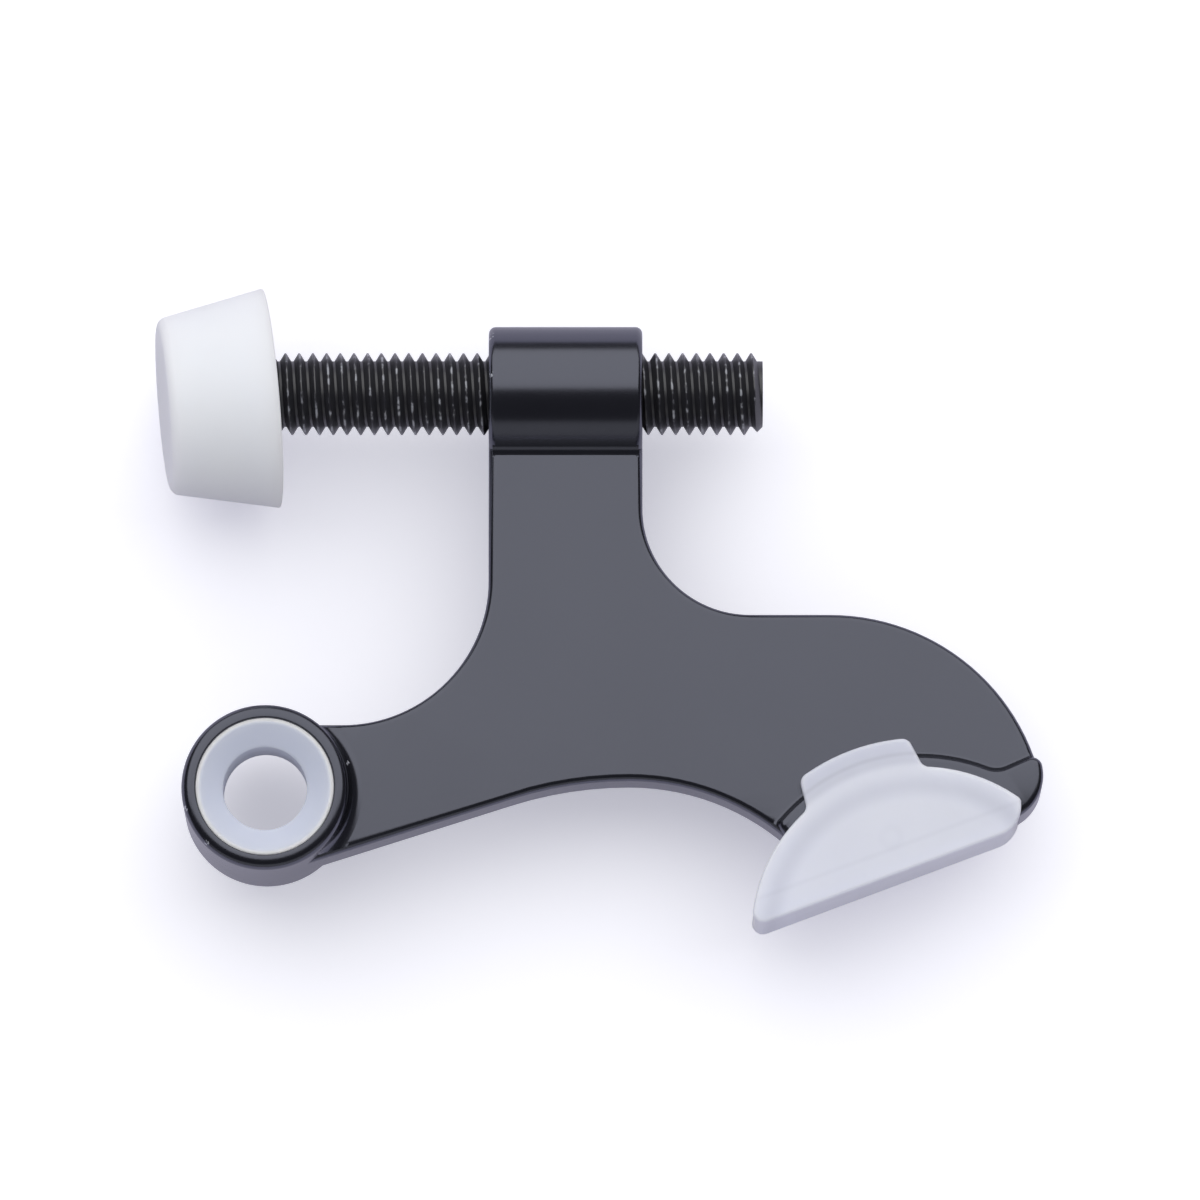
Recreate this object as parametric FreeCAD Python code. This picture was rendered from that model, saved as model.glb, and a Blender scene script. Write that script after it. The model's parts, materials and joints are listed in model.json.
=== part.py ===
import FreeCAD, Part
import os
from math import acos, asin, atan2, ceil, cos, degrees, floor, pi, radians, sin, sqrt, tan

# Hinge pin door stop. All sizes are in millimetres.
# The origin lies on the hinge-pin axis at the mid-plane of the casting.
# +Z runs up along the hinge pin, +X along the screw to its free end,
# and +Y from the eye to the screw.

Vector = FreeCAD.Vector
ORIGIN = Vector(0, 0, 0)
X_AXIS = Vector(1, 0, 0)
Y_AXIS = Vector(0, 1, 0)
Z_AXIS = Vector(0, 0, 1)

# Eye of the casting, which sits on the hinge pin
eye_radius = 6.05
eye_height = 9.4
eye_edge = 0.9
eye_blend = 0.4
eye_clear_radius = 4.0

# Bush in the eye
pin_radius = 3.0
pin_clearance = 0.05
bush_wall = 1.95
bush_length = 5.0
bush_fit = 0.02
bush_rim = 0.35
bush_dish_depth = 0.9
bush_lead_in = 0.12

# Flat web of the casting
web_thickness = 4.0
web_edge = 0.5
shoulder_y = 4.98
shoulder_radius = 10.6
eye_overlap = 0.15
neck_left = 16.15
neck_width = 11.2
arm_top = 13.1
arm_inner_radius = 7.85
arm_flat_end = 41.0
arm_outer_radius = 15.65
arch_x = 26.4
arch_y = 0.85
arch_left_radius = 28.0
arch_right_radius = 17.3

# Barrel of the casting, which carries the screw
barrel_y = 29.7
barrel_radius = 4.9
barrel_edge = 0.3
barrel_blend = 0.5

# Foot bead, an arc about the axis on which the pad swivels, with a bulb at its end
swivel_x = 47.5
swivel_y = -10.6
bead_radius = 13.25
bead_thickness = 5.2
bead_edge = 0.25
bead_left_deg = 142.0
bead_left_corner = 0.45
bead_left_inset = 0.25
bulb_y = 1.2
bulb_radius = 3.48
bulb_proud = 0.22
bulb_top_deg = 27.0
flare_deg = 24.0
flare_blend = 1.9

# Adjusting screw
screw_radius = 3.0
screw_clearance = 0.05
screw_start = -5.0
screw_end = 36.13
screw_chamfer = 0.6
thread_pitch = 1.0
thread_depth = 0.58
thread_phase = 0.26

# Half-moon pad, laid out along its sole and about the swivel axis
pad_turn_deg = 20.6
pad_thickness = 6.5
pad_radius = 12.3
pad_sole_drop = 4.77
pad_sole_wall = 0.75
pad_left_corner = 1.0
pad_right_corner = 1.5
pad_right_reach = 9.56
pad_right_lean_deg = 20.6
pad_edge = 0.2
pad_clearance = 0.1
tab_base_width = 9.0
tab_top_width = 8.4
tab_height = 1.83
tab_corner = 0.6
tab_root = 0.4

# Rubber bumper, a frustum that sits a little askew on the screw
bumper_inner_radius = 8.05
bumper_outer_radius = 6.4
bumper_length = 7.9
bumper_inner_edge = 0.3
bumper_outer_edge = 0.9
bumper_face_x = 0.25
bumper_face_drop = 0.3
bumper_droop_deg = 5.6
bumper_turn_deg = 6.2

# Flats that make up a rounded edge of a turned form, and one turn of the thread
round_flats = 3
thread_flats = 9

# Sizes that follow from the driving dimensions
eye_half = eye_height / 2
web_half = web_thickness / 2
bead_half = bead_thickness / 2
pad_half = pad_thickness / 2
neck_right = neck_left + neck_width
bush_bore_radius = pin_radius + pin_clearance
bush_radius = bush_bore_radius + bush_wall
bush_seat_z = eye_half - bush_length
screw_hole_radius = screw_radius + screw_clearance
arm_centre = Vector(arm_flat_end, arm_top - arm_outer_radius, 0)
bulb_reach = sqrt(arm_outer_radius ** 2 - (bulb_y - arm_centre.y) ** 2)
bulb = Vector(arm_centre.x + bulb_reach + bulb_proud - bulb_radius, bulb_y, 0)
swivel = Vector(swivel_x, swivel_y, 0)
bead_left = swivel + Vector(cos(radians(bead_left_deg)), sin(radians(bead_left_deg)), 0) * bead_radius
arch_crown = Vector(arch_x, arch_y, 0)
right_arch = arch_crown - Y_AXIS * arch_right_radius
left_arch = arch_crown - Y_AXIS * arch_left_radius
arch_end_x = bead_left.x + bead_left_inset
arch_end_y = right_arch.y + sqrt(arch_right_radius ** 2 - (arch_end_x - arch_x) ** 2)
arch_end = Vector(arch_end_x, arch_end_y, 0)


def polar(centre, radius, angle):
    """Point at an angle, in radians, on a circle in the XY plane."""
    return centre + Vector(cos(angle), sin(angle), 0) * radius


def line(start, end):
    return Part.LineSegment(start, end).toShape()


def arc(centre, start, end):
    """Shorter arc from start to end about a centre."""
    middle = (start - centre).normalize() + (end - centre).normalize()
    crown = centre + middle.normalize() * (start - centre).Length
    return Part.Arc(start, crown, end).toShape()


def prism(edges, half_height):
    """Solid over a closed outline, centred on the mid-plane."""
    face = Part.Face(Part.Wire(edges))
    face.translate(Z_AXIS * -half_height)
    return face.extrude(Z_AXIS * (2 * half_height))


def upright_edges(solid, place):
    """Edges along Z that stand at a place in plan."""
    found = []
    for edge in solid.Edges:
        ends = [vertex.Point for vertex in edge.Vertexes]
        if all(abs(p.x - place.x) < 1e-5 and abs(p.y - place.y) < 1e-5 for p in ends):
            found.append(edge)
    return found


def rims(solid, half_height):
    """Edges of a prism's top and bottom faces."""
    flat = [edge for edge in solid.Edges if edge.BoundBox.ZLength < 1e-6]
    return [edge for edge in flat if abs(abs(edge.BoundBox.ZMin) - half_height) < 1e-6]


def quarter(centre, radius, start_deg, turn_deg=90):
    """Points of a rounded corner in the XZ plane, laid out in a few equal flats."""
    angles = [radians(start_deg + turn_deg * step / round_flats) for step in range(round_flats + 1)]
    return [centre + Vector(cos(angle), 0, sin(angle)) * radius for angle in angles]


def turned(points):
    """Solid of revolution about Z from the corners of its section in the XZ plane."""
    outline = Part.makePolygon(points + points[:1])
    return Part.Face(outline).revolve(ORIGIN, Z_AXIS, 360)


def cylinder_x(radius, start, end):
    """Cylinder along X on the screw's axis."""
    return Part.makeCylinder(radius, end - start, Vector(start, barrel_y, 0), X_AXIS)


def web_outline():
    """Outline of the web, whose ends lie inside the eye, the barrel and the foot."""
    shoulder = Vector(neck_left - shoulder_radius, shoulder_y + shoulder_radius, 0)
    shoulder_start = shoulder - Y_AXIS * shoulder_radius
    neck_start = shoulder + X_AXIS * shoulder_radius
    neck_top_left = Vector(neck_left, barrel_y, 0)
    neck_top_right = Vector(neck_right, barrel_y, 0)
    inner = Vector(neck_right + arm_inner_radius, arm_top + arm_inner_radius, 0)
    neck_end = inner - X_AXIS * arm_inner_radius
    arm_start = inner - Y_AXIS * arm_inner_radius
    arm_end = Vector(arm_flat_end, arm_top, 0)
    outer_end = arm_centre + Vector(bulb_reach, bulb.y - arm_centre.y, 0)
    # The lower edge runs straight from the arch to the side of the eye
    eye_side = eye_radius - eye_overlap
    slant = acos((eye_side + arch_left_radius) / left_arch.Length)
    side_angle = atan2(left_arch.y, left_arch.x) - slant
    eye_low = polar(ORIGIN, eye_side, side_angle)
    arch_start = polar(left_arch, -arch_left_radius, side_angle)
    eye_top = Vector(0, shoulder_y, 0)
    return [
        line(eye_top, shoulder_start),
        arc(shoulder, shoulder_start, neck_start),
        line(neck_start, neck_top_left),
        line(neck_top_left, neck_top_right),
        line(neck_top_right, neck_end),
        arc(inner, neck_end, arm_start),
        line(arm_start, arm_end),
        arc(arm_centre, arm_end, outer_end),
        line(outer_end, bulb),
        line(bulb, arch_end),
        arc(right_arch, arch_end, arch_crown),
        arc(left_arch, arch_crown, arch_start),
        line(arch_start, eye_low),
        line(eye_low, eye_top),
    ]


def web(half_height):
    """Flat web with rounded edges."""
    solid = prism(web_outline(), half_height)
    return solid.makeFillet(web_edge, rims(solid, half_height))


def foot_bead():
    """Raised arc bead of the foot, which the pad clips over."""
    # The lower edge touches the bulb's circle
    to_bulb = bulb - arch_end
    low_angle = atan2(to_bulb.y, to_bulb.x) - asin(bulb_radius / to_bulb.Length)
    low_right = polar(bulb, bulb_radius, low_angle - radians(90))
    bulb_top = polar(bulb, bulb_radius, radians(bulb_top_deg))
    # The back turns up to the bulb's top through a hollow blend
    slope = Vector(cos(radians(flare_deg)), sin(radians(flare_deg)), 0)
    rise = Vector(-slope.y, slope.x, 0)
    offset = bulb_top + rise * flare_blend - swivel
    along = offset.dot(slope)
    span = along - sqrt(along ** 2 - offset.Length ** 2 + (bead_radius + flare_blend) ** 2)
    hollow = swivel + offset - slope * span
    flare_start = hollow - rise * flare_blend
    back_end = swivel + (hollow - swivel).normalize() * bead_radius
    outline = [
        line(arch_end, low_right),
        arc(bulb, low_right, bulb_top),
        line(bulb_top, flare_start),
        arc(hollow, flare_start, back_end),
        arc(swivel, back_end, bead_left),
        line(bead_left, arch_end),
    ]
    solid = prism(outline, bead_half)
    solid = solid.makeFillet(bead_left_corner, upright_edges(solid, bead_left))
    return solid.makeChamfer(bead_edge, rims(solid, bead_half))


def eye():
    """Round boss with rounded rims."""
    rim = eye_radius - eye_edge
    upper = quarter(Vector(rim, 0, eye_half - eye_edge), eye_edge, 0)
    lower = [Vector(point.x, 0, -point.z) for point in reversed(upper)]
    return turned(lower + upper + [Vector(0, 0, eye_half), Vector(0, 0, -eye_half)])


def eye_fillet():
    """Hollow blend round the eye, where its side meets the faces of the web."""
    foot = eye_radius + eye_blend
    crest = web_half + eye_blend
    hollow = quarter(Vector(foot, 0, crest), eye_blend, 270, -90)
    lower = [Vector(point.x, 0, -point.z) for point in reversed(hollow)]
    ring = turned([Vector(0, 0, -crest)] + lower + hollow + [Vector(0, 0, crest)])
    return ring.common(web(crest))


def barrel():
    """Cross barrel with eased ends."""
    solid = cylinder_x(barrel_radius, neck_left, neck_right)
    ends = [edge for edge in solid.Edges if edge.BoundBox.XLength < 1e-6]
    return solid.makeChamfer(barrel_edge, ends)


def barrel_fillets():
    """Hollow blends along both sides of the barrel, where it meets the web."""
    reach = barrel_radius + barrel_blend
    height = web_half + barrel_blend
    drop = sqrt(reach ** 2 - height ** 2)
    blends = []
    for side in (-1, 1):
        axis = Vector(neck_left + barrel_edge, barrel_y, 0)
        hollow = axis + Vector(0, -drop, side * height)
        on_barrel = axis + (hollow - axis) * (barrel_radius / reach)
        on_web = hollow - Z_AXIS * (side * barrel_blend)
        inside = Vector(axis.x, axis.y - drop, 0)
        outline = [
            arc(hollow, on_barrel, on_web),
            line(on_web, inside),
            line(inside, axis),
            line(axis, on_barrel),
        ]
        face = Part.Face(Part.Wire(outline))
        blends.append(face.extrude(X_AXIS * (neck_width - 2 * barrel_edge)))
    return blends


def body_casting():
    """Die-cast body: eye, web, barrel and foot in one piece."""
    solid = web(web_half).fuse([eye(), eye_fillet(), barrel(), foot_bead()] + barrel_fillets())
    clear_hole = Part.makeCylinder(eye_clear_radius, eye_height, Vector(0, 0, -eye_half))
    seat = Part.makeCylinder(bush_radius + bush_fit, bush_length, Vector(0, 0, bush_seat_z))
    screw_hole = cylinder_x(screw_hole_radius, neck_left, neck_right)
    return solid.cut([clear_hole, seat, screw_hole]).removeSplitter()


def pin_bush():
    """Plastic bush with a dished front face and a bore for the hinge pin."""
    top = bush_seat_z + bush_length
    dish = top - bush_dish_depth
    corners = [
        Vector(bush_bore_radius, 0, bush_seat_z),
        Vector(bush_radius, 0, bush_seat_z),
        Vector(bush_radius, 0, top),
        Vector(bush_radius - bush_rim, 0, top),
        Vector(bush_bore_radius + bush_lead_in, 0, dish),
        Vector(bush_bore_radius, 0, dish - bush_lead_in),
    ]
    return turned(corners)


def winding(radius, lead):
    """Corners of a right-hand helix in flats, which runs past both ends of the screw."""
    first = floor((screw_start - thread_phase) / thread_pitch) - 2
    last = ceil((screw_end - thread_phase) / thread_pitch) + 2
    corners = []
    for flat in range(first * thread_flats, last * thread_flats + 1):
        angle = 2 * pi * flat / thread_flats
        x = thread_phase + thread_pitch * (flat / thread_flats + lead)
        corners.append(Vector(x, barrel_y + radius * cos(angle), radius * sin(angle)))
    return corners


def facet(*corners):
    return Part.Face(Part.makePolygon([*corners, corners[0]]))


def flank(crest, root):
    """Faces of one side of the thread, from its crest to its root."""
    faces = []
    for a, b, c, d in zip(crest, crest[1:], root[1:], root):
        faces += [facet(a, b, d), facet(b, c, d)]
    return faces


def thread_end(crest, corners):
    """Faces that close the thread over one turn of its crest."""
    faces = [facet(*corners)]
    for a, b in zip(crest, crest[1:]):
        faces.append(facet(a, b, corners[-1]))
    return faces


def adjusting_screw():
    """Rod with a sharp thread, whose ends are cut square and chamfered."""
    crest = winding(screw_radius, 0)
    root = winding(screw_radius - thread_depth, 0.5)
    next_crest = winding(screw_radius, 1)
    axis = winding(0, 0.5)
    faces = flank(crest, root) + flank(next_crest, root)
    faces += thread_end(crest[:thread_flats + 1], [crest[0], root[0], next_crest[0], axis[0]])
    faces += thread_end(next_crest[-thread_flats - 1:], [crest[-1], root[-1], next_crest[-1], axis[-1]])
    shell = Part.makeShell(faces)
    shell.sewShape()
    room = thread_depth / 2
    blank = cylinder_x(screw_radius + room, screw_start, screw_end)
    ends = [edge for edge in blank.Edges if edge.BoundBox.XLength < 1e-6]
    return blank.makeChamfer(screw_chamfer + room, ends).common(Part.makeSolid(shell))


def bumper_tip():
    """Rubber frustum with a blind hole for the screw."""
    taper = atan2(bumper_inner_radius - bumper_outer_radius, bumper_length)
    # The rounded outer edge touches the tapered side and the outer face
    crown = bumper_length - bumper_outer_edge
    side = bumper_inner_radius - crown * tan(taper)
    rim = Vector(side - bumper_outer_edge / cos(taper), 0, crown)
    points = [
        Vector(0, 0, 0),
        Vector(bumper_inner_radius - bumper_inner_edge, 0, 0),
        Vector(bumper_inner_radius - bumper_inner_edge * tan(taper), 0, bumper_inner_edge),
    ]
    points += quarter(rim, bumper_outer_edge, degrees(taper), 90 - degrees(taper))
    cone = turned(points + [Vector(0, 0, bumper_length)])
    droop = radians(bumper_droop_deg)
    turn = radians(bumper_turn_deg)
    axis = Vector(-cos(turn) * cos(droop), -cos(turn) * sin(droop), sin(turn))
    face = Vector(bumper_face_x, barrel_y - bumper_face_drop, 0)
    cone.Placement = FreeCAD.Placement(face, FreeCAD.Rotation(Z_AXIS, axis))
    mouth = bumper_face_x + bumper_inner_radius
    return cone.cut(cylinder_x(screw_hole_radius, screw_start, mouth))


def mirrored(point):
    """The same point on the other side of the pad's middle."""
    return Vector(-point.x, point.y, 0)


def foot_pad():
    """Half-moon pad: a sole and two cheeks, with tabs that hook behind the bead."""
    tab_radius = pad_radius + tab_height
    tab_base = tab_base_width / 2
    tab_top = tab_top_width / 2
    left = Vector(-sqrt(pad_radius ** 2 - pad_sole_drop ** 2), pad_sole_drop, 0)
    # The right end leans outward from the sole to the round back
    right_low = Vector(pad_right_reach, pad_sole_drop, 0)
    lean = Vector(sin(radians(pad_right_lean_deg)), cos(radians(pad_right_lean_deg)), 0)
    along = right_low.dot(lean)
    rise = sqrt(along ** 2 - right_low.Length ** 2 + pad_radius ** 2) - along
    right_top = right_low + lean * rise
    root = Vector(tab_base, sqrt(pad_radius ** 2 - tab_base ** 2), 0)
    top = Vector(tab_top, sqrt(tab_radius ** 2 - tab_top ** 2), 0)
    outline = [
        line(left, right_low),
        line(right_low, right_top),
        arc(ORIGIN, right_top, root),
        line(root, top),
        arc(ORIGIN, top, mirrored(top)),
        line(mirrored(top), mirrored(root)),
        arc(ORIGIN, mirrored(root), left),
    ]
    solid = prism(outline, pad_half)
    solid = solid.makeFillet(pad_left_corner, upright_edges(solid, left))
    solid = solid.makeFillet(pad_right_corner, upright_edges(solid, right_low))
    for radius, corner in ((tab_corner, top), (tab_root, root)):
        pair = upright_edges(solid, corner) + upright_edges(solid, mirrored(corner))
        solid = solid.makeFillet(radius, pair)
    solid = solid.makeChamfer(pad_edge, rims(solid, pad_half))
    # The foot's bead lies between the cheeks, and the tabs reach in behind it
    floor = pad_sole_drop + pad_sole_wall
    bead_gap = bead_half + pad_clearance
    web_gap = web_half + pad_clearance
    width = 2 * tab_radius
    above = Part.makeBox(width, width, 2 * bead_gap, Vector(-tab_radius, floor, -bead_gap))
    race = Part.makeCylinder(bead_radius + pad_clearance, 2 * bead_gap, Vector(0, 0, -bead_gap))
    slot = Part.makeBox(width, width, 2 * web_gap, Vector(-tab_radius, floor, -web_gap))
    solid = solid.cut([above.common(race), slot])
    solid.Placement = FreeCAD.Placement(swivel, FreeCAD.Rotation(Z_AXIS, pad_turn_deg))
    return solid


PIECES = [body_casting, pin_bush, adjusting_screw, bumper_tip, foot_pad]

os.makedirs("parts", exist_ok=True)
for piece in PIECES:
    piece().exportStep("parts/" + piece.__name__ + ".step")
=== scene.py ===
import json
from math import acos, asin, atan2, ceil, cos, pi, radians, sin, sqrt
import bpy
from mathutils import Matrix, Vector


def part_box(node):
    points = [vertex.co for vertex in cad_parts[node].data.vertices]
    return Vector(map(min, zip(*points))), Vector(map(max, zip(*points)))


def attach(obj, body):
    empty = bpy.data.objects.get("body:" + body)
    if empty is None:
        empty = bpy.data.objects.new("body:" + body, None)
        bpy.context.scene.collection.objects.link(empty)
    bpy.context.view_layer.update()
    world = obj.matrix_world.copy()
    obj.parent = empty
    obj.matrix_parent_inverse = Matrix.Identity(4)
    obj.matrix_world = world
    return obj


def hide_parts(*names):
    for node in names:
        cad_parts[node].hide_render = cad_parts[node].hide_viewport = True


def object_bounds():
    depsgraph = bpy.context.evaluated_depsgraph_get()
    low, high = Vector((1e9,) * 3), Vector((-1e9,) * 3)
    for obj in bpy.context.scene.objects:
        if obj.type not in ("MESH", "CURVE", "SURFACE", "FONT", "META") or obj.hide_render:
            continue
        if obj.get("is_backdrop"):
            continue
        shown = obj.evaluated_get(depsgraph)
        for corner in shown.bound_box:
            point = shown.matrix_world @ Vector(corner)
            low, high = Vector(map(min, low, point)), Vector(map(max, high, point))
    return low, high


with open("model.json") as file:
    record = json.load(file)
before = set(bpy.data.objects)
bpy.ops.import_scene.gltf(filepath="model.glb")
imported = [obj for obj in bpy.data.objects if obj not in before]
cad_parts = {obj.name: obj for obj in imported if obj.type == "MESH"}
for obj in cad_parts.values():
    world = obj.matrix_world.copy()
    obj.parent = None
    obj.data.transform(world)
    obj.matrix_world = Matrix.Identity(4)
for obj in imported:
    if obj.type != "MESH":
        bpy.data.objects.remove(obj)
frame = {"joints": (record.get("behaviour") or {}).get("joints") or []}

from types import SimpleNamespace

import bmesh
import bpy
from bpy.props import FloatProperty, FloatVectorProperty, PointerProperty
from mathutils import Matrix, Vector

bl_info = {
    "name": "Hinge Pin Door Stop",
    "version": (1, 0, 0),
    "blender": (4, 5, 0),
    "location": "View3D > Sidebar > Door Stop",
    "description": "Models and finishes a hinge pin door stop round its CAD frame",
    "category": "Add Mesh",
}

MM = 0.001
ORIGIN = Vector((0, 0, 0))
X_AXIS = Vector((1, 0, 0))
Y_AXIS = Vector((0, 1, 0))
Z_AXIS = Vector((0, 0, 1))

# Places that the CAD frame gives
CAD_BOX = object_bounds()
JOINTS = {joint["name"]: joint for joint in frame["joints"]}
SCREW_AXIS = Vector(JOINTS["screw_turn"]["pos_m"])
SWIVEL = Vector(JOINTS["pad_swivel"]["pos_m"])
SCREW_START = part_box("adjusting_screw")[0].x
SCREW_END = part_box("adjusting_screw")[1].x

# Where the paint is chipped, and a chip's radius and bare middle, in millimetres
CHIPS = [
    Vector((16.38, 33.75, 2.65)), Vector((16.3, 33.3, 3.2)), Vector((16.3, 30.3, 4.82)),
    Vector((-5.75, -1.6, 4.4)), Vector((5.95, 2.1, 2.4)), Vector((-4.2, -4.1, 4.45)),
]
CHIP_RADIUS = 0.28
CHIP_MIDDLE = 0.12

# Soft lights: lean from straight above, and distance, width and depth in metres
KEY_LIGHT = SimpleNamespace(lean=radians(37), distance=0.6, width=1.3, depth=0.9)
FILL_LIGHT = SimpleNamespace(lean=radians(-72), distance=0.7, width=1.6, depth=0.36)

# Fineness of the meshes
ARC_STEP = radians(3)
TURN_STEPS = 120
LEAST_STEPS = 3
HOLLOW_STEPS = 12
THREAD_STEPS = 48
BEVEL_SEGMENTS = {"EDGES": 4, "VERTICES": 8}
MERGE = 0.0005 * MM

# Least angle of a sharp edge, and of a crisp seam between two forms, and most angle within a flat face
SHARP_ANGLE = radians(38)
SEAM_ANGLE = radians(4)
FLAT_ANGLE = radians(0.3)
FORM_LAYER = "form"

# How far a hollow blend is sunk into the faces that it joins, and how deep its body reaches into the web
SINK = 0.01 * MM
HEEL = 0.3 * MM

# Turns a form modelled about Z so that its axis runs along X, and sets it on the screw's axis
Z_TO_X = Matrix(((0, 0, 1, 0), (1, 0, 0, 0), (0, 1, 0, 0), (0, 0, 0, 1)))
ON_SCREW = Matrix.Translation(SCREW_AXIS) @ Z_TO_X


def length(name, millimetres, description):
    return FloatProperty(name=name, description=description, default=millimetres * MM, unit="LENGTH")


def angle(name, degrees, description):
    return FloatProperty(name=name, description=description, default=radians(degrees), subtype="ANGLE")


def amount(name, value, description):
    return FloatProperty(name=name, description=description, default=value, min=0.0)


def colour(name, value, description):
    return FloatVectorProperty(name=name, description=description, default=value, size=3, subtype="COLOR")


class CastingSettings(bpy.types.PropertyGroup):
    """Sizes and finish of the black casting"""

    eye_radius: length("Eye radius", 6.05, "Outer radius of the eye")
    eye_height: length("Eye height", 9.4, "Height of the eye along the hinge pin")
    eye_edge: length("Eye edge", 0.7, "Rounding of the eye's rims")
    eye_blend: length("Eye blend", 1.1, "Hollow blend between the eye and the web")
    eye_inner_edge: length("Eye inner edge", 0.12, "Rounding of the bush seat's rim")
    seat_radius: length("Seat radius", 5.02, "Radius of the seat for the bush")
    seat_depth: length("Seat depth", 5.0, "Depth of the seat for the bush")
    clear_radius: length("Clear radius", 4.0, "Radius of the hole behind the bush")
    web_thickness: length("Web thickness", 4.0, "Thickness of the flat web")
    web_edge: length("Web edge", 0.5, "Rounding of the web's rims")
    blend_inset: length("Blend inset", 0.28, "How far from the web's outline its blends end")
    shoulder_y: length("Shoulder height", 4.98, "Upper edge of the web beside the eye")
    shoulder_radius: length("Shoulder radius", 10.6, "Curve from the shoulder up to the neck")
    eye_overlap: length("Eye overlap", 0.15, "How far the web's lower edge runs into the eye")
    neck_left: length("Neck left", 16.15, "Left side of the neck and the barrel")
    neck_width: length("Neck width", 11.2, "Width of the neck and the barrel")
    arm_top: length("Arm top", 13.1, "Upper edge of the arm")
    arm_inner_radius: length("Arm inner radius", 7.85, "Curve from the neck to the arm")
    arm_flat_end: length("Arm flat end", 41.0, "Where the arm's upper edge turns down")
    arm_outer_radius: length("Arm outer radius", 15.65, "Curve down the arm to the foot")
    arch_x: length("Arch crown X", 26.4, "Crown of the arch under the web")
    arch_y: length("Arch crown Y", 0.85, "Height of the arch's crown")
    arch_left_radius: length("Arch left radius", 28.0, "Curve of the arch towards the eye")
    arch_right_radius: length("Arch right radius", 17.3, "Curve of the arch towards the foot")
    barrel_radius: length("Barrel radius", 4.9, "Outer radius of the barrel")
    barrel_hole: length("Barrel hole", 3.05, "Radius of the barrel's hole")
    barrel_edge: length("Barrel edge", 0.5, "Rounding of the barrel's ends")
    barrel_blend: length("Barrel blend", 0.9, "Hollow blend between the barrel and the web")
    barrel_bury: length("Barrel bury", 3.6, "Distance from the screw's axis at which the web ends")
    bead_radius: length("Bead radius", 13.25, "Back of the bead, about the pad's swivel")
    bead_thickness: length("Bead thickness", 5.2, "Thickness of the foot's bead")
    bead_edge: length("Bead edge", 0.5, "Rounding of the bead's rims")
    bead_blend: length("Bead blend", 0.45, "Hollow blend at the foot of the bead")
    bead_left: angle("Bead left end", 142.0, "Where the bead ends on the left")
    bead_left_corner: length("Bead left corner", 0.6, "Rounding of the bead's left end")
    bead_left_inset: length("Bead left inset", 0.9, "Slant of the bead's left end")
    bulb_y: length("Bulb height", 1.2, "Height of the bulb's centre")
    bulb_radius: length("Bulb radius", 3.48, "Radius of the bead's bulb")
    bulb_proud: length("Bulb proud", 0.22, "How far the bulb stands out past the arm")
    bulb_corner: length("Bulb corner", 0.75, "Rounding where the flare meets the bulb")
    bulb_top: angle("Bulb top", 27.0, "Where the bulb meets the flare")
    flare: angle("Flare", 24.0, "Slope of the bead's back as it nears the bulb")
    flare_blend: length("Flare blend", 1.9, "Hollow between the bead's back and its flare")
    paint: colour("Paint", (0.004, 0.004, 0.005), "Black paint")
    sheen: colour("Sheen", (0.80, 0.83, 1.0), "Tint of the paint's gloss")
    chip: colour("Chip", (0.55, 0.57, 0.62), "Bare zinc where the paint is chipped")


class BushSettings(bpy.types.PropertyGroup):
    """Sizes and finish of the bush in the eye"""

    bore_radius: length("Bore radius", 3.05, "Radius of the hole for the hinge pin")
    radius: length("Radius", 5.0, "Outer radius of the bush")
    length: length("Length", 5.0, "Length along the hinge pin")
    top: length("Top", 4.7, "Height of the front face above the mid-plane")
    rim: length("Rim", 0.35, "Width of the flat rim")
    dish_depth: length("Dish depth", 0.9, "Depth of the dished front face")
    lead_in: length("Lead-in", 0.12, "Chamfer at the mouth of the bore")
    edge: length("Edge", 0.08, "Rounding of the rims")
    plastic: colour("Plastic", (0.67, 0.705, 0.81), "Natural nylon")
    # Painted highlight: colour painted along the bush's outer rim in place of the light it catches
    rim_highlight: colour("Rim plastic", (0.90, 0.91, 0.97), "Natural nylon where the rim is thin and pale")


class ScrewSettings(bpy.types.PropertyGroup):
    """Sizes and finish of the adjusting screw"""

    radius: length("Radius", 3.0, "Radius over the thread's crests")
    root_radius: length("Root radius", 2.4, "Radius at the thread's roots")
    pitch: length("Pitch", 1.0, "Advance of the thread in one turn")
    crest_width: length("Crest width", 0.09, "Flat on the thread's crests")
    root_width: length("Root width", 0.17, "Flat at the thread's roots")
    crest_phase: length("Crest phase", 0.26, "Where a crest stands on the screw's upper side")
    end_chamfer: length("End chamfer", 0.6, "Chamfer at both ends")
    steel: colour("Steel", (0.016, 0.016, 0.021), "Black coated steel")
    worn: colour("Worn crests", (0.30, 0.31, 0.34), "Crests where the coat is rubbed")


class BumperSettings(bpy.types.PropertyGroup):
    """Sizes and finish of the rubber bumper"""

    inner_radius: length("Inner radius", 8.05, "Radius at the end nearest the barrel")
    outer_radius: length("Outer radius", 6.4, "Radius at the end that meets the door")
    length: length("Length", 7.9, "Length along the bumper's axis")
    inner_edge: length("Inner edge", 0.15, "Rounding of the inner rim")
    outer_edge: length("Outer edge", 0.6, "Rounding of the outer rim")
    hole_radius: length("Hole radius", 3.05, "Radius of the blind hole for the screw")
    face_x: length("Face X", 0.25, "Place of the inner face along the screw")
    face_drop: length("Face drop", 0.3, "How far the bumper's middle hangs below the screw's axis")
    droop: angle("Droop", 5.6, "Tilt of the bumper towards the eye")
    turn: angle("Turn", 4.8, "Turn of the bumper towards the front")
    rubber: colour("Rubber", (0.88, 0.90, 0.94), "White rubber")


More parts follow.
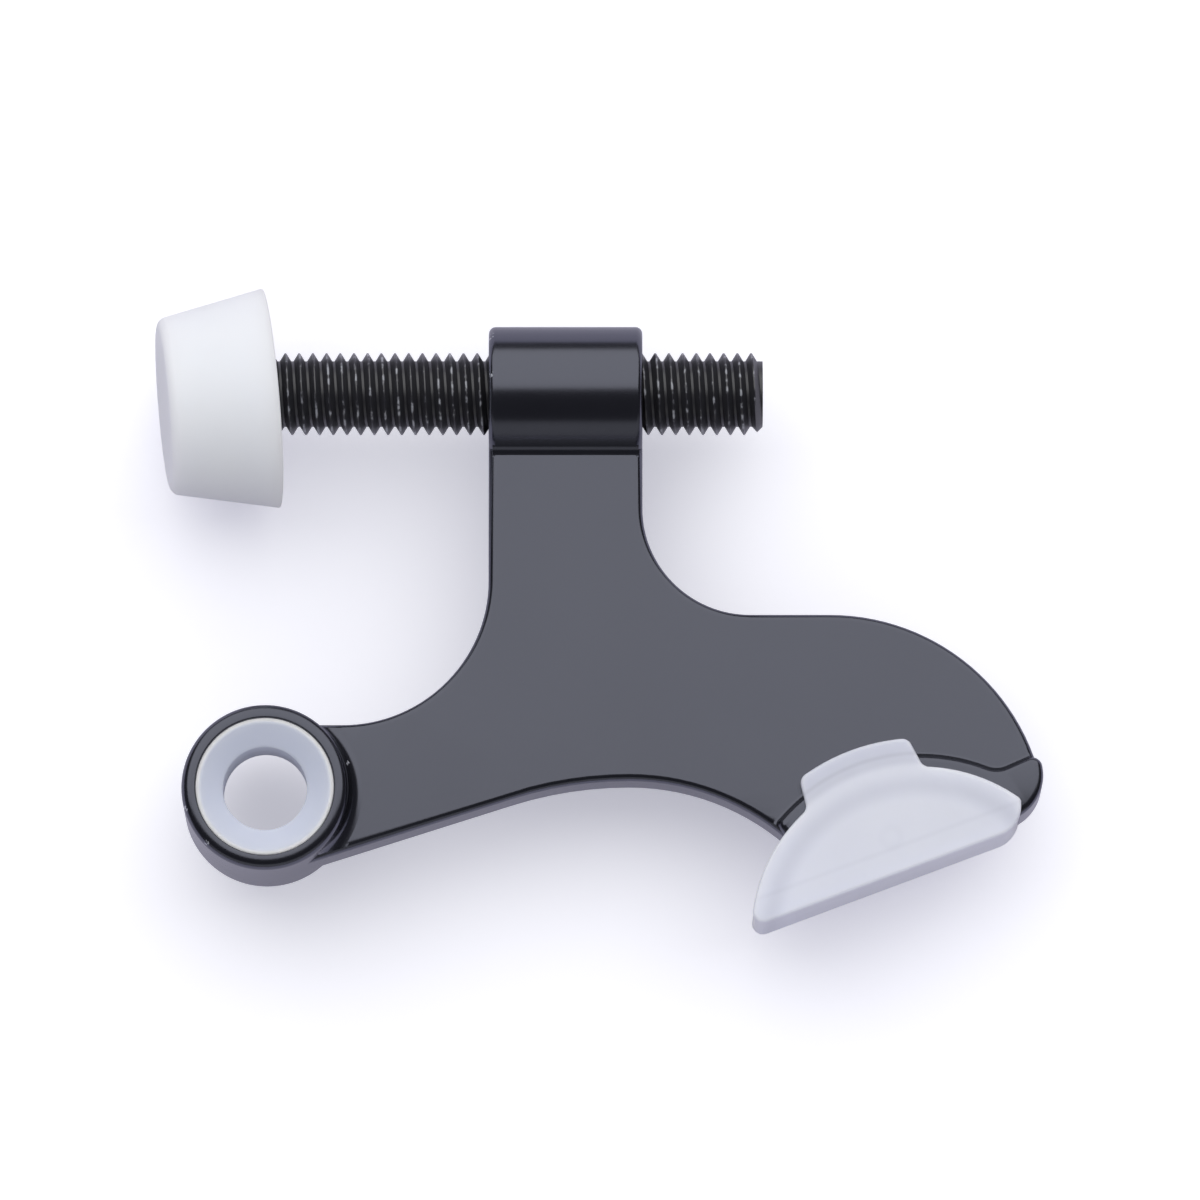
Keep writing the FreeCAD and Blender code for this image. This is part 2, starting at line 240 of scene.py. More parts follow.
class PadSettings(bpy.types.PropertyGroup):
    """Sizes and finish of the half-moon pad"""

    turn: angle("Turn", 20.6, "Slope of the sole")
    thickness: length("Thickness", 6.5, "Thickness over both cheeks")
    radius: length("Radius", 12.3, "Round back of the cheeks, about the swivel")
    sole_drop: length("Sole drop", 4.77, "Distance from the swivel to the sole")
    sole_wall: length("Sole wall", 0.75, "Thickness of the sole")
    left_corner: length("Left corner", 0.8, "Rounding of the sole's left end")
    right_corner: length("Right corner", 1.5, "Rounding of the sole's right end")
    right_reach: length("Right reach", 9.56, "Right end of the sole from the pad's middle")
    right_lean: angle("Right lean", 20.6, "Outward lean of the right end")
    edge: length("Edge", 0.22, "Rounding of the rims")
    clearance: length("Clearance", 0.1, "Play on the bead")
    bead_radius: length("Bead radius", 13.25, "Back of the bead that the tabs hook behind")
    bead_thickness: length("Bead thickness", 5.2, "Thickness of the bead between the cheeks")
    web_thickness: length("Web thickness", 4.0, "Thickness of the web between the tabs")
    tab_base_width: length("Tab base width", 9.0, "Width of a tab at its root")
    tab_top_width: length("Tab top width", 8.4, "Width of a tab at its top")
    tab_height: length("Tab height", 2.1, "Height of a tab above the round back")
    tab_corner: length("Tab corner", 0.45, "Rounding of a tab's corners")
    tab_root: length("Tab root", 0.4, "Hollow at the sides of a tab")
    plastic: colour("Plastic", (0.80, 0.82, 0.92), "Milky plastic")


class StageSettings(bpy.types.PropertyGroup):
    """Camera, light and floor"""

    target: FloatVectorProperty(
        name="Target", description="Point that the camera looks at",
        default=(24.26 * MM, 14.45 * MM, 0.0), subtype="TRANSLATION",
    )
    distance: length("Distance", 1000.0, "Distance of the camera from its target")
    tilt: angle("Tilt", 9.6, "How far the camera leans from straight above")
    lens: FloatProperty(name="Lens", description="Focal length in millimetres", default=411.8)
    floor_size: length("Floor size", 3000.0, "Width of the floor")
    floor: colour("Floor", (1.0, 1.0, 1.0), "Pale floor, as the camera sees it")
    bounce: colour("Floor bounce", (0.48, 0.46, 0.55), "Pale floor, as the object sees it")
    glow: colour("Floor glow", (0.24, 0.24, 0.29), "Brightness of the floor in the shade")
    room: colour("Room", (0.05, 0.05, 0.06), "Dark room that gloss reflects")
    soft: colour("Soft light", (0.48, 0.48, 0.50), "Even light from all round on dull surfaces")
    key: amount("Key light", 1.05, "Radiance of the large soft light")
    fill: amount("Fill light", 0.3, "Radiance of the low soft light in front")


class DoorStopSettings(bpy.types.PropertyGroup):
    """Everything that can be changed about the door stop"""

    casting: PointerProperty(type=CastingSettings)
    bush: PointerProperty(type=BushSettings)
    screw: PointerProperty(type=ScrewSettings)
    bumper: PointerProperty(type=BumperSettings)
    pad: PointerProperty(type=PadSettings)
    stage: PointerProperty(type=StageSettings)


# Modelling

def polar(centre, radius, turn):
    """Point at an angle on a circle in the XY plane."""
    return centre + Vector((cos(turn), sin(turn), 0)) * radius


def first_crossing(start, direction, centre, radius):
    """Where a line first meets a circle."""
    offset = centre - start
    along = offset.dot(direction)
    return start + direction * (along - sqrt(along ** 2 - offset.length_squared + radius ** 2))


def is_vert(item):
    return isinstance(item, bmesh.types.BMVert)


def is_face(item):
    return isinstance(item, bmesh.types.BMFace)


def turn_between(centre, start, end):
    """Angle from one point to another about a centre, the shorter way."""
    return -(start - centre).to_2d().angle_signed((end - centre).to_2d())


def arc_steps(turn):
    return max(LEAST_STEPS, ceil(abs(turn) / ARC_STEP))


class Outline:
    """A flat outline in the XY plane, drawn from point to point."""

    def __init__(self, start):
        self.bm = bmesh.new()
        self.tip = self.bm.verts.new(start)

    def line(self, end):
        """Carry on straight to a point."""
        vert = self.bm.verts.new(end)
        self.bm.edges.new((self.tip, vert))
        self.tip = vert

    def arc(self, centre, end):
        """Carry on along the shorter arc about a centre."""
        turn = turn_between(centre, self.tip.co, end)
        made = bmesh.ops.spin(
            self.bm, geom=[self.tip], cent=centre, axis=Z_AXIS, angle=turn, steps=arc_steps(turn),
        )
        self.tip = next(filter(is_vert, made["geom_last"]))

    def fill(self):
        """Merge the outline's ends and fill it with one face."""
        bmesh.ops.remove_doubles(self.bm, verts=self.bm.verts, dist=MERGE)
        bmesh.ops.edgeloop_fill(self.bm, edges=self.bm.edges)
        return self.bm


def bevel(bm, geom, radius, affect):
    """Round off corners of a flat face, or edges of a solid."""
    bmesh.ops.bevel(
        bm, geom=geom, offset=radius, offset_type="OFFSET", affect=affect,
        segments=BEVEL_SEGMENTS[affect], profile=0.5, material=-1,
    )


def round_corners(bm, places, radius):
    """Round the corners of a flat face that lie at these places."""
    for place in places:
        corner = min(bm.verts, key=lambda vert: (vert.co - place).length)
        bevel(bm, [corner], radius, "VERTICES")


def thicken(bm, half_height):
    """Make a prism of a flat face, centred on the mid-plane."""
    bmesh.ops.translate(bm, verts=bm.verts, vec=Z_AXIS * -half_height)
    made = bmesh.ops.extrude_face_region(bm, geom=bm.faces[:])
    bmesh.ops.translate(bm, verts=list(filter(is_vert, made["geom"])), vec=Z_AXIS * (2 * half_height))
    bmesh.ops.recalc_face_normals(bm, faces=bm.faces)
    return bm


def round_rims(bm, radius):
    """Round the edges of a prism's top and bottom faces."""
    rims = [edge for edge in bm.edges if edge.verts[0].co.z * edge.verts[1].co.z > 0]
    bevel(bm, rims, radius, "EDGES")
    return bm


def turned(corners):
    """Solid of revolution about Z. Each corner of its section is a radius, a height and a rounding."""
    bm = bmesh.new()
    verts = [bm.verts.new((radius, 0, height)) for radius, height, _ in corners]
    bm.faces.new(verts)
    for vert, (_, _, rounding) in zip(verts, corners):
        if rounding:
            bevel(bm, [vert], rounding, "VERTICES")
    bmesh.ops.delete(bm, geom=bm.faces[:], context="FACES_ONLY")
    axial = [edge for edge in bm.edges if all(vert.co.x < MERGE for vert in edge.verts)]
    bmesh.ops.delete(bm, geom=axial, context="EDGES")
    bmesh.ops.spin(
        bm, geom=bm.verts[:] + bm.edges[:], cent=ORIGIN, axis=Z_AXIS,
        angle=2 * pi, steps=TURN_STEPS, use_merge=True,
    )
    bmesh.ops.remove_doubles(bm, verts=bm.verts, dist=MERGE)
    bmesh.ops.recalc_face_normals(bm, faces=bm.faces)
    return bm


def hollow_section(size, height, rim, step):
    """Face in the XZ plane that fills the foot of a wall at X = 0 with a hollow round.

    The wall rises by a step from a level face at a height, up to a rounded rim. Where the step is low, the
    hollow runs smoothly into the rim.
    """
    lift = max(0.0, size + rim - step)
    lean = asin(lift / (size + rim))
    centre = Vector(((size + rim) * cos(lean) - rim, 0, height + size))
    bm = bmesh.new()
    inside = bm.verts.new((-rim, 0, height - HEEL))
    tip = bm.verts.new(centre - Vector((cos(lean), 0, sin(lean))) * (size + SINK))
    bm.edges.new((inside, tip))
    made = bmesh.ops.spin(
        bm, geom=[tip], cent=centre, axis=Y_AXIS, angle=lean - radians(90), steps=HOLLOW_STEPS,
    )
    foot = next(filter(is_vert, made["geom_last"]))
    heel = bm.verts.new((foot.co.x, 0, height - HEEL))
    bm.edges.new((foot, heel))
    bm.edges.new((heel, inside))
    bmesh.ops.edgeloop_fill(bm, edges=bm.edges)
    return bm


class Moulding:
    """A section carried along a path in the XY plane, by the same calls as an outline."""

    def __init__(self, section, start, outward):
        self.bm = section
        self.bm.transform(Matrix.Translation(start) @ Matrix.Rotation(atan2(outward.y, outward.x), 4, "Z"))
        self.faces = self.bm.faces[:]
        self.tip = start

    def line(self, end):
        """Carry on straight to a point."""
        made = bmesh.ops.extrude_face_region(self.bm, geom=self.faces)["geom"]
        bmesh.ops.delete(self.bm, geom=self.faces, context="FACES_ONLY")
        bmesh.ops.translate(self.bm, verts=list(filter(is_vert, made)), vec=end - self.tip)
        self.faces = list(filter(is_face, made))
        self.tip = end

    def arc(self, centre, end):
        """Carry on along the shorter arc about a centre."""
        turn = turn_between(centre, self.tip, end)
        geom = dict.fromkeys(item for face in self.faces for item in (face, *face.edges, *face.verts))
        made = bmesh.ops.spin(
            self.bm, geom=list(geom), cent=centre, axis=Z_AXIS, angle=turn, steps=arc_steps(turn),
        )
        self.faces = list(filter(is_face, made["geom_last"]))
        self.tip = end

    def solid(self):
        bmesh.ops.recalc_face_normals(self.bm, faces=self.bm.faces)
        return self.bm


def number_form(bm, number):
    """Number the faces of a form, so that its edges against other forms stay crisp."""
    layer = bm.faces.layers.int.new(FORM_LAYER)
    for face in bm.faces:
        face[layer] = number


def set_shading(bm):
    """Smooth shading, with sharp edges by angle and along the seams between forms."""
    layer = bm.faces.layers.int.get(FORM_LAYER) or bm.faces.layers.int.new(FORM_LAYER)
    for face in bm.faces:
        face.smooth = True
    for edge in bm.edges:
        forms = {face[layer] for face in edge.link_faces}
        edge.smooth = edge.calc_face_angle(0) < (SEAM_ANGLE if len(forms) > 1 else SHARP_ANGLE)
    bm.faces.layers.int.remove(layer)


def add_object(name, data):
    """Put an object with this data in the scene."""
    made = bpy.data.objects.new(name, data)
    bpy.context.scene.collection.objects.link(made)
    return made


def combine(base, others, operation):
    """Join other solids to a base, or cut them from it, and give back its bmesh."""
    made = []
    for bm in [base, *others]:
        mesh = bpy.data.meshes.new("solid")
        # Worked in millimetres, because large flat faces split badly at a smaller scale
        bm.transform(Matrix.Scale(1 / MM, 4))
        bm.to_mesh(mesh)
        bm.free()
        made.append(add_object("solid", mesh))
    body, *tools = made
    for tool in tools:
        step = body.modifiers.new("combine", "BOOLEAN")
        step.object = tool
        step.operation = operation
        step.solver = "MANIFOLD"
    result = bmesh.new()
    result.from_object(body, bpy.context.evaluated_depsgraph_get())
    for solid in made:
        bpy.data.meshes.remove(solid.data)
    bmesh.ops.remove_doubles(result, verts=result.verts, dist=MERGE / MM)
    bmesh.ops.dissolve_degenerate(result, edges=result.edges, dist=MERGE / MM)
    bmesh.ops.dissolve_limit(result, angle_limit=FLAT_ANGLE, verts=result.verts, edges=result.edges)
    many_sided = [face for face in result.faces if len(face.verts) > 4]
    bmesh.ops.triangulate(result, faces=many_sided, ngon_method="BEAUTY")
    result.transform(Matrix.Scale(MM, 4))
    return result


def add_piece(bm, name, body, node, material):
    """Make a finished piece that stands for a CAD node and rides on its body."""
    set_shading(bm)
    mesh = bpy.data.meshes.new(name)
    bm.to_mesh(mesh)
    bm.free()
    mesh.materials.append(material)
    piece = add_object(name, mesh)
    even = piece.modifiers.new("even normals", "WEIGHTED_NORMAL")
    even.keep_sharp = True
    even.weight = 100
    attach(piece, body)
    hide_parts(node)


# Shading

class Signal:
    """One output of a shader node. Sums with it add Math nodes."""

    def __init__(self, tree, socket=None):
        self.tree = tree
        self.socket = socket

    def node(self, kind, settings=None, inputs=None, output=0):
        """Add a node of any kind: its settings first, then the values or links of its inputs."""
        made = self.tree.nodes.new(kind)
        for name, value in (settings or {}).items():
            setattr(made, name, value)
        for name, value in (inputs or {}).items():
            if isinstance(value, Signal):
                self.tree.links.new(value.socket, made.inputs[name])
            else:
                made.inputs[name].default_value = value
        return Signal(self.tree, made.outputs[output])

    def math(self, operation, *values, clamp=False):
        return self.node("ShaderNodeMath", {"operation": operation, "use_clamp": clamp}, dict(enumerate(values)))

    def __add__(self, other):
        return self.math("ADD", self, other)

    def __sub__(self, other):
        return self.math("SUBTRACT", self, other)

    def __rsub__(self, other):
        return self.math("SUBTRACT", other, self)

    def __mul__(self, other):
        return self.math("MULTIPLY", self, other)

    __radd__ = __add__
    __rmul__ = __mul__

    def step(self, low, high):
        """Rise smoothly from 0 to 1 between two values."""
        settings = {"interpolation_type": "SMOOTHSTEP"}
        return self.node("ShaderNodeMapRange", settings, {"Value": self, "From Min": low, "From Max": high})

    def line(self, middle, width):
        """Rise to 1 at a value and fall to 0 at half a width to either side."""
        return (self - middle).math("ABSOLUTE", self - middle).step(width / 2, 0.0)

    def mix(self, first, second):
        """Blend two colours by this value."""
        inputs = {0: self, 6: first, 7: second}
        return self.node("ShaderNodeMix", {"data_type": "RGBA"}, inputs, output=2)

    def part(self, axis):
        """One coordinate of a vector."""
        return self.node("ShaderNodeSeparateXYZ", None, {0: self}, output="XYZ".index(axis))

    def masked(self, mask):
        """A position with some of its coordinates set to zero."""
        return self.node("ShaderNodeVectorMath", {"operation": "MULTIPLY"}, {0: self, 1: mask})

    def distance(self, place):
        """Distance of a position from a fixed point."""
        return self.node("ShaderNodeVectorMath", {"operation": "DISTANCE"}, {0: self, 1: place}, output="Value")

    def noise(self, scale, detail=2.0):
        """Noise from 0 to 1 at a number of features to the metre."""
        return self.node("ShaderNodeTexNoise", None, {"Vector": self, "Scale": scale, "Detail": detail})


def rgba(value):
    return (*value, 1.0)


class Finish:
    """A principled material under construction, with its position signal."""

    def __init__(self, name, **constants):
        self.material = bpy.data.materials.new(name)
        self.material.use_nodes = True
        tree = self.material.node_tree
        self.shader = tree.nodes["Principled BSDF"]
        self.place = Signal(tree).node("ShaderNodeTexCoord", output="Object")
        for socket, value in constants.items():
            self.shader.inputs[socket.replace("_", " ")].default_value = value

    def feed(self, socket, signal):
        self.place.tree.links.new(signal.socket, self.shader.inputs[socket])

    def bump(self, height, strength, distance):
        inputs = {"Height": height, "Strength": strength, "Distance": distance}
        self.feed("Normal", self.place.node("ShaderNodeBump", None, inputs))


def soft_finish(name, depth):
    """Finish of a pale plastic or rubber that light sinks into."""
    return Finish(name, Subsurface_Weight=1.0, Subsurface_Radius=(1, 1, 1), Subsurface_Scale=depth)


def black_paint(s):
    """Satin black paint over a fine cast skin."""
    finish = Finish("black_paint", IOR=2.2, Specular_Tint=rgba(s.sheen))
    skin = finish.place.noise(900.0, 3.0)
    cloud = finish.place.noise(120.0)
    chips = [finish.place.distance(place * MM).step(CHIP_RADIUS * MM, CHIP_MIDDLE * MM) for place in CHIPS]
    chipped = chips[0]
    for chip in chips[1:]:
        chipped = chipped.math("MAXIMUM", chipped, chip)
    chipped = chipped * finish.place.noise(4200.0).step(0.48, 0.6)
    paint = cloud.mix(rgba(s.paint), rgba(Vector(s.paint) * 1.6))
    finish.feed("Base Color", chipped.mix(paint, rgba(s.chip)))
    finish.feed("Roughness", 0.19 + 0.06 * cloud + 0.2 * chipped)
    finish.bump(skin, 0.05, 0.05 * MM)
    return finish.material


def natural_nylon(s):
    """Moulded nylon with faint flow marks and a painted highlight along its rim."""
    finish = soft_finish("natural_nylon", 0.9 * MM)
    place = finish.place
    cloud = place.noise(260.0)
    flat = place.masked((1, 1, 0))
    # Painted highlight: the outer edge of the rim is painted paler than the nylon
    rim = flat.distance(ORIGIN).step(s.radius - s.rim, s.radius - 0.4 * s.rim)
    plastic = cloud.mix(rgba(Vector(s.plastic) * 0.94), rgba(s.plastic))
    finish.feed("Base Color", rim.mix(plastic, rgba(s.rim_highlight)))
    finish.feed("Roughness", 0.38 + 0.1 * cloud)
    return finish.material


def black_steel(s):
    """Black coated thread, rubbed bright in specks on its crests."""
    finish = Finish("black_steel", IOR=1.9)
    reach = finish.place.masked((0, 1, 1)).distance(SCREW_AXIS)
    crest = reach.step(s.radius - 0.12 * MM, s.radius - 0.02 * MM)
    speck = finish.place.noise(1500.0).step(0.5, 0.66)
    worn = crest * speck
    finish.feed("Base Color", worn.mix(rgba(s.steel), rgba(s.worn)))
    finish.feed("Roughness", 0.42 - 0.14 * crest)
    return finish.material


def white_rubber(s):
    """Soft white rubber with a dull moulded skin."""
    finish = soft_finish("white_rubber", 2.0 * MM)
    cloud = finish.place.noise(180.0)
    finish.feed("Base Color", cloud.mix(rgba(Vector(s.rubber) * 0.97), rgba(s.rubber)))
    finish.feed("Roughness", 0.5 + 0.1 * cloud)
    finish.bump(finish.place.noise(1200.0), 0.05, 0.05 * MM)
    return finish.material


def milky_plastic(s):
    """Milky moulded plastic, with painted shade where the dark bead and the pad's inner edges show faintly
    through it.
    """
    finish = soft_finish("milky_plastic", 0.8 * MM)
    place = finish.place
    cloud = place.noise(160.0)
    flat = place.masked((1, 1, 0))
    reach = flat.distance(SWIVEL)
    level = place.node("ShaderNodeMapping", {"vector_type": "TEXTURE"}, {
        "Vector": place, "Location": SWIVEL, "Rotation": (0, 0, s.turn),
    }).part("Y")
    # Painted shade: the tabs, the bead's back, a band inside the round back and a line above the sole are
    # darkened where the dark casting and inner edges lie behind the plastic
    tab = reach.step(s.radius - 0.1 * MM, s.radius + 0.5 * MM)
    back = reach.line(s.bead_radius, 0.5 * MM)
    band_shade = reach.line(s.radius - 1.4 * MM, 2.4 * MM)
    line_shade = level.line(s.sole_drop + 1.8 * MM, 0.6 * MM)
    gate = flat.distance(polar(SWIVEL, 7.4 * MM, radians(107))).line(0.7 * MM, 1.0 * MM)
    # Painted shade, apart from the gate ring and the cloud, which are the plastic's own marks and tone
    shade = 0.26 * tab + 0.14 * back + 0.2 * band_shade + 0.06 * line_shade + 0.07 * gate * cloud + 0.12 * cloud
    finish.feed("Base Color", shade.mix(rgba(s.plastic), rgba(Vector(s.plastic) * 0.45)))
    finish.feed("Roughness", 0.3 + 0.1 * cloud)
    return finish.material


# Casting

def casting_plan(s):
    """Points of the casting's plan that several of its forms share."""
    plan = SimpleNamespace()
    plan.web_half = s.web_thickness / 2
    plan.bead_half = s.bead_thickness / 2
    plan.neck_right = s.neck_left + s.neck_width
    plan.arm_centre = Vector((s.arm_flat_end, s.arm_top - s.arm_outer_radius, 0))
    rise = s.bulb_y - plan.arm_centre.y
    plan.outer_end = plan.arm_centre + Vector((sqrt(s.arm_outer_radius ** 2 - rise ** 2), rise, 0))
    plan.bulb = plan.outer_end + X_AXIS * (s.bulb_proud - s.bulb_radius)
    plan.bead_left = polar(SWIVEL, s.bead_radius, s.bead_left)
    plan.arch_crown = Vector((s.arch_x, s.arch_y, 0))
    plan.left_arch = plan.arch_crown - Y_AXIS * s.arch_left_radius
    plan.right_arch = plan.arch_crown - Y_AXIS * s.arch_right_radius
    end_x = plan.bead_left.x + s.bead_left_inset
    end_y = plan.right_arch.y + sqrt(s.arch_right_radius ** 2 - (end_x - s.arch_x) ** 2)
    plan.arch_end = Vector((end_x, end_y, 0))
    # The bead's left end is cut off slantwise and rounded
    slant = (plan.arch_end - plan.bead_left).normalized()
    inward = Vector((-slant.y, slant.x, 0))
    reach = s.bead_radius - s.bead_left_corner
    plan.end_round = first_crossing(plan.bead_left + inward * s.bead_left_corner, slant, SWIVEL, reach)
    plan.end_start = SWIVEL + (plan.end_round - SWIVEL).normalized() * s.bead_radius
    plan.end_stop = plan.end_round - inward * s.bead_left_corner
    # The lower edge runs straight from the arch to the side of the eye
    eye_side = s.eye_radius - s.eye_overlap
    slant = acos((eye_side + s.arch_left_radius) / plan.left_arch.length)
    plan.side_angle = atan2(plan.left_arch.y, plan.left_arch.x) - slant
    plan.eye_low = polar(ORIGIN, eye_side, plan.side_angle)
    plan.arch_start = polar(plan.left_arch, -s.arch_left_radius, plan.side_angle)
    # The back of the bead turns up through a hollow to the knuckle on the bulb's top
    bulb_top = polar(plan.bulb, s.bulb_radius, s.bulb_top)
    back = polar(ORIGIN, -1.0, s.flare)
    normal = polar(ORIGIN, 1.0, s.flare + radians(90))
    reach = s.bead_radius + s.flare_blend
    plan.hollow = first_crossing(bulb_top + normal * s.flare_blend, back, SWIVEL, reach)
    plan.back_end = SWIVEL + (plan.hollow - SWIVEL).normalized() * s.bead_radius
    plan.flare_start = plan.hollow - normal * s.flare_blend
    reach = s.bulb_radius - s.bulb_corner
    plan.knuckle = first_crossing(bulb_top - normal * s.bulb_corner, back, plan.bulb, reach)
    plan.flare_end = plan.knuckle + normal * s.bulb_corner
    plan.bulb_end = plan.bulb + (plan.knuckle - plan.bulb).normalized() * s.bulb_radius
    return plan


def web(s, plan, raise_by=0.0):
    """Flat web, whose ends lie inside the walls of the eye, the barrel and the foot.

    A raised one trims the blends that lie on the web. It is a little narrower, and its ends reach further in.
    """
    shoulder = Vector((s.neck_left - s.shoulder_radius, s.shoulder_y + s.shoulder_radius, 0))
    inner = Vector((plan.neck_right + s.arm_inner_radius, s.arm_top + s.arm_inner_radius, 0))
    neck_top = SCREW_AXIS.y - s.barrel_bury
    buried = s.eye_radius - s.eye_overlap
    eye_high = polar(ORIGIN, buried, asin(s.shoulder_y / buried))
    if raise_by:
        ray = plan.outer_end - plan.arm_centre
        run_on = Vector((ray.y, -ray.x, 0)) * 0.2
        foot = [plan.outer_end + run_on, plan.bulb]
        eye_wall = [ORIGIN]
    else:
        third = (asin(s.shoulder_y / buried) - plan.side_angle) / 3
        foot = [plan.bulb]
        eye_wall = [polar(ORIGIN, buried, plan.side_angle + third * part) for part in (1, 2)]
    outline = Outline(eye_high)
    outline.line(shoulder - Y_AXIS * s.shoulder_radius)
    outline.arc(shoulder, shoulder + X_AXIS * s.shoulder_radius)
    outline.line(Vector((s.neck_left, neck_top, 0)))
    outline.line(Vector((plan.neck_right, neck_top, 0)))
    outline.line(inner - X_AXIS * s.arm_inner_radius)
    outline.arc(inner, inner - Y_AXIS * s.arm_inner_radius)
    outline.line(plan.arm_centre + Y_AXIS * s.arm_outer_radius)
    outline.arc(plan.arm_centre, plan.outer_end)
    for point in (*foot, plan.arch_end):
        outline.line(point)
    outline.arc(plan.right_arch, plan.arch_crown)
    outline.arc(plan.left_arch, plan.arch_start)
    for point in (plan.eye_low, *eye_wall, eye_high):
        outline.line(point)
    bm = outline.fill()
    if raise_by:
        border = bmesh.ops.inset_region(
            bm, faces=bm.faces, thickness=s.blend_inset, use_boundary=True, use_even_offset=True,
        )
        bmesh.ops.delete(bm, geom=border["faces"], context="FACES")
        return thicken(bm, plan.web_half + raise_by)
    return round_rims(thicken(bm, plan.web_half), s.web_edge)


def eye(s):
    """Round boss with a seat for the bush and a clear hole behind it."""
    half = s.eye_height / 2
    seat = half - s.seat_depth
    return turned([
        (s.eye_radius, -half, s.eye_edge),
        (s.eye_radius, half, s.eye_edge),
        (s.seat_radius, half, s.eye_inner_edge),
        (s.seat_radius, seat, 0),
        (s.clear_radius, seat, 0),
        (s.clear_radius, -half, s.eye_inner_edge),
    ])


def barrel(s):
    """Cross barrel with rounded ends."""
    bm = turned([
        (s.barrel_hole, s.neck_left, s.eye_inner_edge),
        (s.barrel_radius, s.neck_left, s.barrel_edge),
        (s.barrel_radius, s.neck_left + s.neck_width, s.barrel_edge),
        (s.barrel_hole, s.neck_left + s.neck_width, s.eye_inner_edge),
    ])
    bm.transform(ON_SCREW)
    return bm


def barrel_blend(s, plan):
    """Hollow blends along both sides of the barrel, where it meets the web."""
    reach = s.barrel_radius + s.barrel_blend
    height = plan.web_half + s.barrel_blend
    drop = sqrt(reach ** 2 - height ** 2)
    buried = (s.barrel_hole + s.barrel_radius) / 2
    # Drawn with Y and Z of the part as X and Y of the section
    upper = Vector((-drop, height, 0))
    lower = Vector((-drop, -height, 0))
    on_web = s.barrel_blend + SINK
    on_barrel = 1 - on_web / reach
    outline = Outline(upper * on_barrel)
    outline.arc(upper, upper - Y_AXIS * on_web)
    outline.line(lower + Y_AXIS * on_web)
    outline.arc(lower, lower * on_barrel)
    outline.line(lower.normalized() * buried)
    outline.line(upper.normalized() * buried)
    outline.line(upper * on_barrel)
    bm = thicken(outline.fill(), s.neck_width)
    middle = X_AXIS * (s.neck_left + s.neck_width / 2)
    bm.transform(Matrix.Translation(middle) @ ON_SCREW)
    return combine(bm, [web(s, plan, s.barrel_blend)], "INTERSECT")


def draw_back(pen, plan):
    """Draw the bead's back, from the bulb to the arch."""
    pen.arc(plan.knuckle, plan.flare_end)
    pen.line(plan.flare_start)
    pen.arc(plan.hollow, plan.back_end)
    pen.arc(SWIVEL, plan.end_start)
    pen.arc(plan.end_round, plan.end_stop)
    pen.line(plan.arch_end)


def foot_bead(s, plan):
    """Raised arc bead of the foot, which the pad clips over."""
    # The lower edge touches the bulb's circle
    to_bulb = plan.bulb - plan.arch_end
    low_angle = atan2(to_bulb.y, to_bulb.x) - asin(s.bulb_radius / to_bulb.length)
    outline = Outline(plan.arch_end)
    outline.line(polar(plan.bulb, s.bulb_radius, low_angle - radians(90)))
    outline.arc(plan.bulb, plan.bulb_end)
    draw_back(outline, plan)
    return round_rims(thicken(outline.fill(), plan.bead_half), s.bead_edge)


def mirrored_copy(bm):
    """The same form on the other side of the mid-plane."""
    other = bm.copy()
    bmesh.ops.scale(other, verts=other.verts, vec=(1, 1, -1))
    bmesh.ops.reverse_faces(other, faces=other.faces)
    return other


def eye_blend(s, plan):
    """Hollow blend round the eye on the front of the web."""
    section = hollow_section(s.eye_blend, plan.web_half, s.eye_edge, s.eye_height / 2 - plan.web_half)
    start = polar(ORIGIN, s.eye_radius, plan.side_angle)
    past_web = radians(6)
    moulding = Moulding(section, start, start)
    moulding.arc(ORIGIN, polar(ORIGIN, s.eye_radius, asin(s.shoulder_y / s.eye_radius) + past_web))
    return combine(moulding.solid(), [web(s, plan, s.eye_blend)], "INTERSECT")


def bead_blend(s, plan):
    """Hollow blend along the bead's back on the front of the web."""
    section = hollow_section(s.bead_blend, plan.web_half, s.bead_edge, plan.bead_half - plan.web_half)
    moulding = Moulding(section, plan.bulb_end, plan.bulb_end - plan.knuckle)
    draw_back(moulding, plan)
    return combine(moulding.solid(), [web(s, plan, s.bead_blend)], "INTERSECT")


# Other pieces

def pin_bush(s):
    """Bush with a dished front face and a bore for the hinge pin."""
    seat = s.top - s.length
    dish = s.top - s.dish_depth
    return turned([
        (s.bore_radius, seat, s.edge),
        (s.radius, seat, s.edge),
        (s.radius, s.top, s.edge),
        (s.radius - s.rim, s.top, s.edge),
        (s.bore_radius + s.lead_in, dish, s.edge),
        (s.bore_radius, dish - s.lead_in, 0),
    ])


